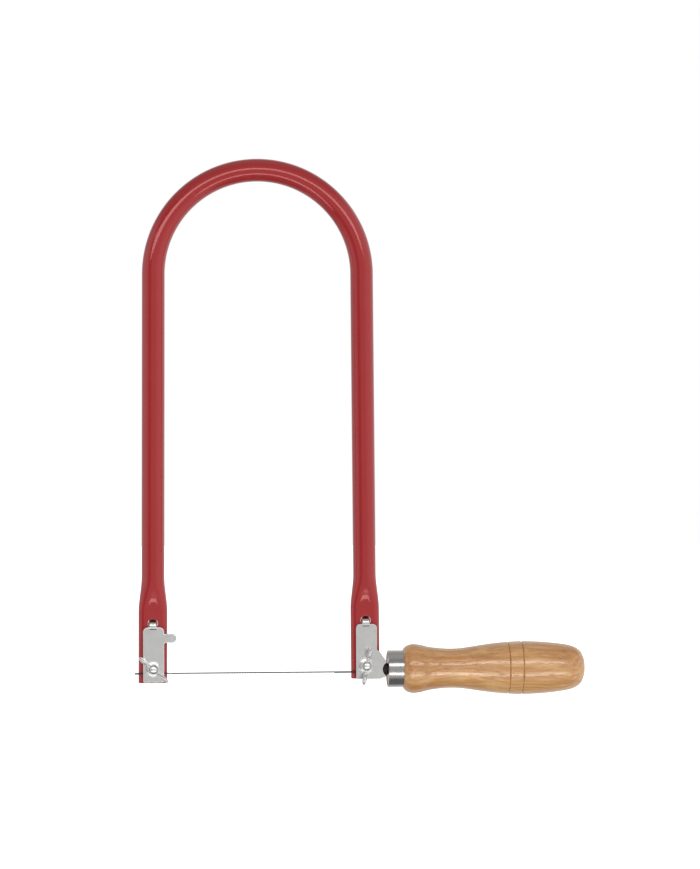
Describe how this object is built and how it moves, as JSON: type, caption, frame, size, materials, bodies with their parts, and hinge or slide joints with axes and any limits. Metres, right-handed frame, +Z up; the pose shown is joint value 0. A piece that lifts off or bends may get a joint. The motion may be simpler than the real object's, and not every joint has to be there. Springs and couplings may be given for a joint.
{
  "type": "fret saw",
  "caption": "Deep-throated fret saw: bent tube bow, wing-nut plate clamps that hold a fine plain-ended blade, and a turned wooden handle.",
  "frame": {"origin": "where the bow's middle line crosses the middle of the blade's height", "axes": "+X along the blade towards the handle, +Z up to the bow's bend, -Y the side with the wing nuts"},
  "size_m": [0.2479, 0.0314, 0.2952],
  "materials": {
    "red_paint": "gloss red enamel",
    "blade_steel": "dark tempered steel",
    "plate_zinc": "bright zinc plating, pressed",
    "bolt_zinc": "bright zinc plating",
    "nut_zinc": "bright zinc plating, forged",
    "dark_forging": "black forged scale",
    "ferrule_steel": "satin drawn steel",
    "lacquered_wood": "clear gloss lacquer on light wood"
  },
  "bodies": {
    "bow": {"bow_tube": "red_paint", "blade": "blade_steel", "front_bolt": "bolt_zinc", "rear_bolt": "bolt_zinc", "tang": "dark_forging", "ferrule": "ferrule_steel", "handle": "lacquered_wood"},
    "front_plate": {"front_clamp_plate": "plate_zinc"},
    "front_washer": {"front_washer": "bolt_zinc"},
    "front_nut": {"front_wing_nut": "nut_zinc"},
    "rear_plate": {"rear_clamp_plate": "plate_zinc"},
    "rear_washer": {"rear_washer": "bolt_zinc"},
    "rear_nut": {"rear_wing_nut": "nut_zinc"}
  },
  "joints": [
    {"name": "front_plate_open", "type": "hinge", "parent": "bow", "child": "front_plate", "pos_m": [-0.0584, -0.00335, 0.02588], "axis": [-1, 0, 0], "range_deg": [0, 5.7]},
    {"name": "front_washer_slide", "type": "slide", "parent": "bow", "child": "front_washer", "axis": [0, -1, 0], "range_m": [0, 0.003]},
    {"name": "front_nut_spin", "type": "hinge", "parent": "front_washer", "child": "front_nut", "pos_m": [-0.0584, -0.009, 0.0026], "axis": [0, -1, 0], "range_deg": [0, 1540]},
    {"name": "rear_plate_open", "type": "hinge", "parent": "bow", "child": "rear_plate", "pos_m": [0.0584, -0.00335, 0.02683], "axis": [-1, 0, 0], "range_deg": [0, 5.7]},
    {"name": "rear_washer_slide", "type": "slide", "parent": "bow", "child": "rear_washer", "axis": [0, -1, 0], "range_m": [0, 0.003]},
    {"name": "rear_nut_spin", "type": "hinge", "parent": "rear_washer", "child": "rear_nut", "pos_m": [0.0584, -0.009, 0.00355], "axis": [0, -1, 0], "range_deg": [0, 1540]}
  ],
  "couplings": [
    {"joint": "front_washer_slide", "follows": "front_nut_spin", "m_per_rad": 0.00011141},
    {"joint": "front_plate_open", "follows": "front_nut_spin", "ratio": 0.0037},
    {"joint": "rear_washer_slide", "follows": "rear_nut_spin", "m_per_rad": 0.00011141},
    {"joint": "rear_plate_open", "follows": "rear_nut_spin", "ratio": 0.0037}
  ]
}
